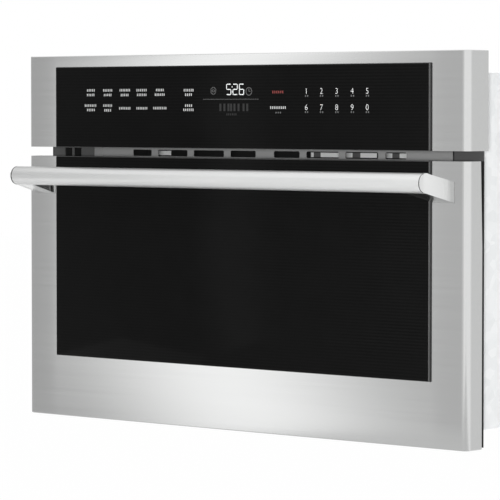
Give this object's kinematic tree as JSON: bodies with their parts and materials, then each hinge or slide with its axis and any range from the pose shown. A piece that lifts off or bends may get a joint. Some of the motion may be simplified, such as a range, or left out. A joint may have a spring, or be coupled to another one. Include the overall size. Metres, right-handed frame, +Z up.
{
  "type": "built-in microwave",
  "caption": "Built-in convection microwave with a drop-down door, a full-width handle bar, a dark glass front in a stainless frame, a touch panel and a turntable.",
  "frame": {"origin": "on the shelf under the base, in the plane of the cabinet's face, midway across", "axes": "+X to the right seen from the front, +Y to the back, +Z up; the front faces -Y"},
  "size_m": [0.758, 0.6019, 0.4868],
  "materials": {
    "stainless": "satin",
    "handle_steel": "satin",
    "collar_steel": "satin",
    "dark_glass": "gloss",
    "clear_glass": "gloss",
    "frame_paint": "satin",
    "vent_metal": "satin",
    "galvanised": "matte",
    "cavity_steel": "satin",
    "zinc_hardware": "satin",
    "black_plastic": "matte",
    "pale_plastic": "matte",
    "mica": "matte",
    "motor_steel": "satin",
    "copper": "gloss",
    "can_metal": "satin",
    "heater_sheath": "matte",
    "circuit_board": "satin",
    "display_black": "gloss"
  },
  "bodies": {
    "housing": {"bezel_frame": "stainless", "control_glass": "dark_glass", "cavity_lamp": "clear_glass", "front_frame": "frame_paint", "vent_grille": "vent_metal", "base_pan": "galvanised", "outer_cover": "galvanised", "rear_panel": "galvanised", "exhaust_duct": "galvanised", "waveguide": "galvanised", "cavity_supports": "galvanised", "convection_housing": "galvanised", "cavity_wrapper": "cavity_steel", "cavity_floor": "cavity_steel", "cavity_back": "cavity_steel", "hinge_brackets": "zinc_hardware", "hinge_pins": "zinc_hardware", "case_screws": "zinc_hardware", "latch_brackets": "zinc_hardware", "bezel_carrier": "black_plastic", "cable_inlet": "black_plastic", "blower_housing": "black_plastic", "interlock_switches": "black_plastic", "lamp_holder": "pale_plastic", "waveguide_cover": "mica", "blower_motor": "motor_steel", "turntable_motor": "motor_steel", "convection_motor": "motor_steel", "transformer_core": "motor_steel", "magnetron": "motor_steel", "transformer_windings": "copper", "capacitor": "can_metal", "thermal_cutouts": "can_metal", "convection_heater": "heater_sheath", "control_board": "circuit_board", "noise_filter": "circuit_board", "display_module": "display_black"},
    "door": {"door_skin": "stainless", "door_glass": "dark_glass", "door_frame": "frame_paint", "choke_panel": "frame_paint", "choke_cover": "black_plastic", "window_screen": "cavity_steel", "inner_window": "clear_glass", "handle_bar": "handle_steel", "handle_posts": "handle_steel", "handle_collars": "collar_steel", "handle_screws": "zinc_hardware", "hinge_arms": "zinc_hardware", "latch_pins": "zinc_hardware"},
    "latch_left": {"latch_hook_left": "black_plastic"},
    "latch_right": {"latch_hook_right": "black_plastic"},
    "turntable": {"glass_tray": "clear_glass", "turntable_coupler": "pale_plastic"},
    "ring": {"roller_ring": "pale_plastic"},
    "roller_a": {"roller_1": "pale_plastic"},
    "roller_b": {"roller_2": "pale_plastic"},
    "roller_c": {"roller_3": "pale_plastic"},
    "blower": {"blower_wheel": "can_metal"},
    "convection": {"convection_fan": "can_metal"}
  },
  "joints": [
    {"name": "door_hinge", "type": "hinge", "parent": "housing", "child": "door", "pos_m": [0, -0.02, -0.002], "axis": [1, 0, 0], "range_deg": [0, 90]},
    {"name": "latch_left_pivot", "type": "hinge", "parent": "door", "child": "latch_left", "pos_m": [0, -0.024, 0.3109], "axis": [1, 0, 0], "range_deg": [0, 8], "stiffness_Nm_per_rad": 0.4, "springref_deg": -14.32},
    {"name": "latch_right_pivot", "type": "hinge", "parent": "door", "child": "latch_right", "pos_m": [0, -0.024, 0.3109], "axis": [1, 0, 0], "range_deg": [0, 8], "stiffness_Nm_per_rad": 0.4, "springref_deg": -14.32},
    {"name": "turntable_spin", "type": "hinge", "parent": "housing", "child": "turntable", "pos_m": [0, 0.191, 0.085], "axis": [0, 0, 1], "continuous": true},
    {"name": "ring_spin", "type": "hinge", "parent": "housing", "child": "ring", "pos_m": [0, 0.191, 0.0785], "axis": [0, 0, 1], "continuous": true},
    {"name": "roller_a_spin", "type": "hinge", "parent": "ring", "child": "roller_a", "pos_m": [0, 0.2903, 0.0785], "axis": [0, 1, 0], "continuous": true},
    {"name": "roller_b_spin", "type": "hinge", "parent": "ring", "child": "roller_b", "pos_m": [-0.086, 0.14135, 0.0785], "axis": [-0.866, -0.5, 0], "continuous": true},
    {"name": "roller_c_spin", "type": "hinge", "parent": "ring", "child": "roller_c", "pos_m": [0.086, 0.14135, 0.0785], "axis": [0.866, -0.5, 0], "continuous": true},
    {"name": "blower_spin", "type": "hinge", "parent": "housing", "child": "blower", "pos_m": [-0.21, 0.34, 0.3665], "axis": [1, 0, 0], "continuous": true},
    {"name": "convection_spin", "type": "hinge", "parent": "housing", "child": "convection", "pos_m": [0, 0.405, 0.1895], "axis": [0, 1, 0], "continuous": true}
  ],
  "couplings": [
    {"joint": "ring_spin", "follows": "turntable_spin", "ratio": 0.5},
    {"joint": "roller_a_spin", "follows": "turntable_spin", "ratio": -8.0081},
    {"joint": "roller_b_spin", "follows": "turntable_spin", "ratio": -8.0081},
    {"joint": "roller_c_spin", "follows": "turntable_spin", "ratio": -8.0081}
  ]
}
